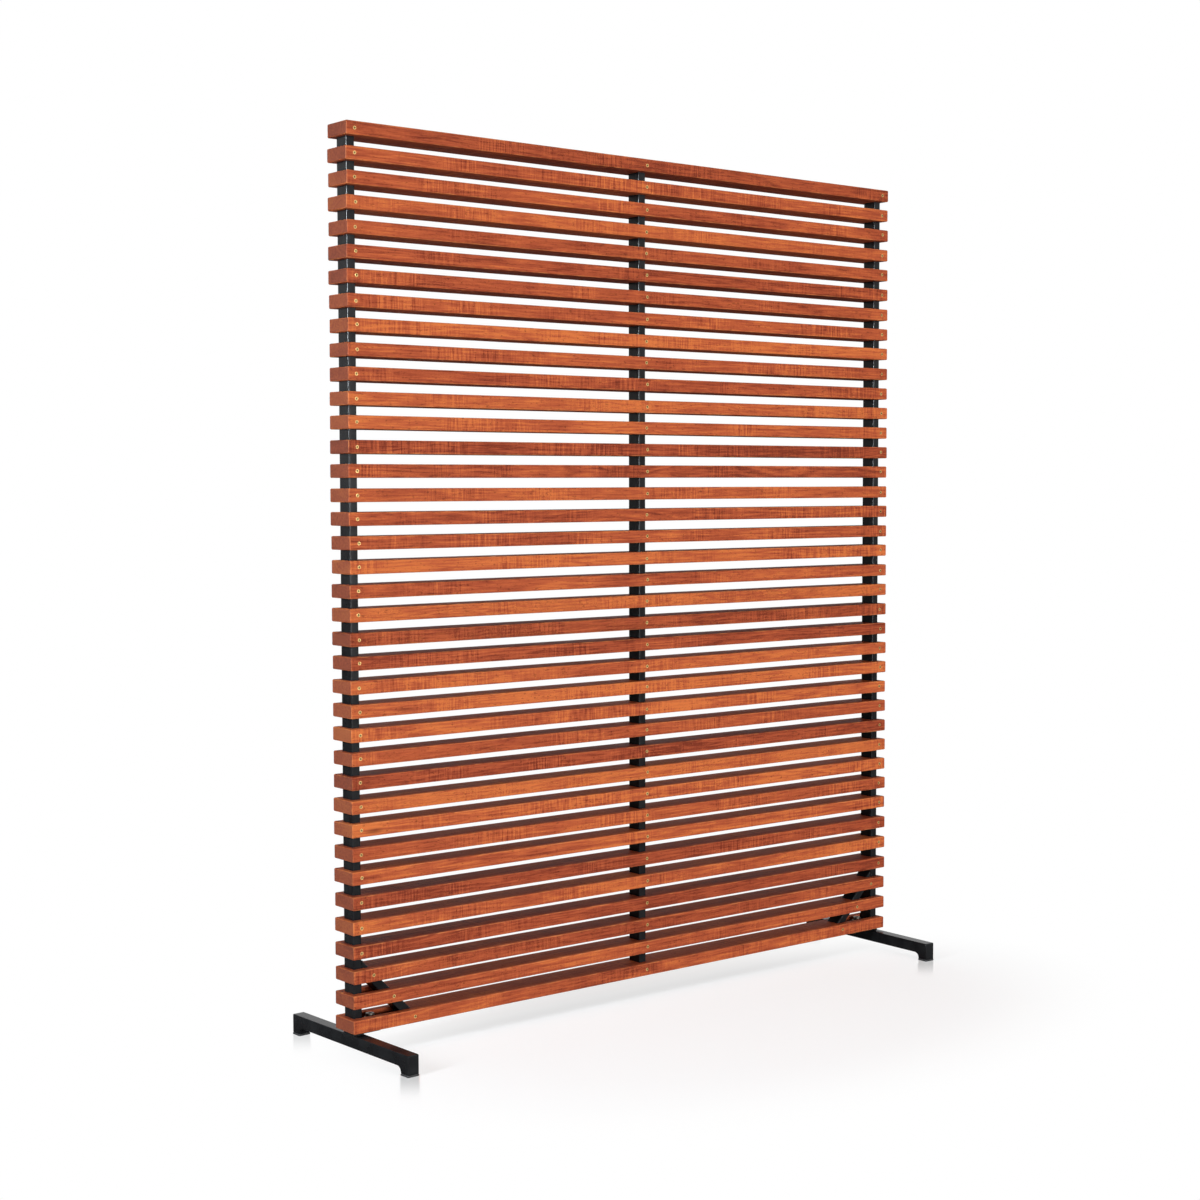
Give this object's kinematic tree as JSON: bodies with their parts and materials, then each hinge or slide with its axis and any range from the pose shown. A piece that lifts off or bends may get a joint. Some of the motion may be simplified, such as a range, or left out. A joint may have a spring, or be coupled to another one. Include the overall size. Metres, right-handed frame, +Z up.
{
  "type": "garden privacy screen",
  "caption": "Free-standing screen of horizontal hardwood slats threaded on a black steel frame, standing on two low steel feet that swivel on their bolts.",
  "frame": {"origin": "on the floor, under the middle of the screen", "axes": "+X along the slats, +Y to the back (the screws show on the front, -Y), +Z up"},
  "size_m": [1.524, 0.4138, 1.8355],
  "materials": {
    "slat_wood": "oiled reddish-brown hardwood, satin",
    "frame_steel": "satin black powder coat",
    "bolt_steel": "weathered zinc",
    "black_plastic": "matt moulded",
    "screw_brass": "brass-coloured screw heads, satin"
  },
  "bodies": {
    "panel": {"slat_01": "slat_wood", "slat_02": "slat_wood", "slat_03": "slat_wood", "slat_04": "slat_wood", "slat_05": "slat_wood", "slat_06": "slat_wood", "slat_07": "slat_wood", "slat_08": "slat_wood", "slat_09": "slat_wood", "slat_10": "slat_wood", "slat_11": "slat_wood", "slat_12": "slat_wood", "slat_13": "slat_wood", "slat_14": "slat_wood", "slat_15": "slat_wood", "slat_16": "slat_wood", "slat_17": "slat_wood", "slat_18": "slat_wood", "slat_19": "slat_wood", "slat_20": "slat_wood", "slat_21": "slat_wood", "slat_22": "slat_wood", "slat_23": "slat_wood", "slat_24": "slat_wood", "slat_25": "slat_wood", "slat_26": "slat_wood", "slat_27": "slat_wood", "slat_28": "slat_wood", "slat_29": "slat_wood", "slat_30": "slat_wood", "slat_31": "slat_wood", "slat_32": "slat_wood", "slat_33": "slat_wood", "slat_34": "slat_wood", "slat_35": "slat_wood", "slat_36": "slat_wood", "slat_37": "slat_wood", "slat_38": "slat_wood", "post_left": "frame_steel", "post_centre": "frame_steel", "post_right": "frame_steel", "post_cap_left": "black_plastic", "post_cap_centre": "black_plastic", "post_cap_right": "black_plastic", "bottom_rail": "frame_steel", "brace_left": "frame_steel", "brace_right": "frame_steel", "foot_bolt_left": "bolt_steel", "foot_bolt_right": "bolt_steel", "foot_washer_left": "bolt_steel", "foot_washer_right": "bolt_steel"},
    "foot_left": {"foot_bar_left": "frame_steel", "foot_plate_left": "frame_steel", "glide_left_front": "black_plastic", "glide_left_back": "black_plastic"},
    "foot_right": {"foot_bar_right": "frame_steel", "foot_plate_right": "frame_steel", "glide_right_front": "black_plastic", "glide_right_back": "black_plastic"}
  },
  "joints": [
    {"name": "foot_left_swivel", "type": "hinge", "parent": "panel", "child": "foot_left", "pos_m": [-0.702, 0, 0.046], "axis": [0, 0, 1], "range_deg": [-90, 90]},
    {"name": "foot_right_swivel", "type": "hinge", "parent": "panel", "child": "foot_right", "pos_m": [0.702, 0, 0.046], "axis": [0, 0, 1], "range_deg": [-90, 90]}
  ]
}
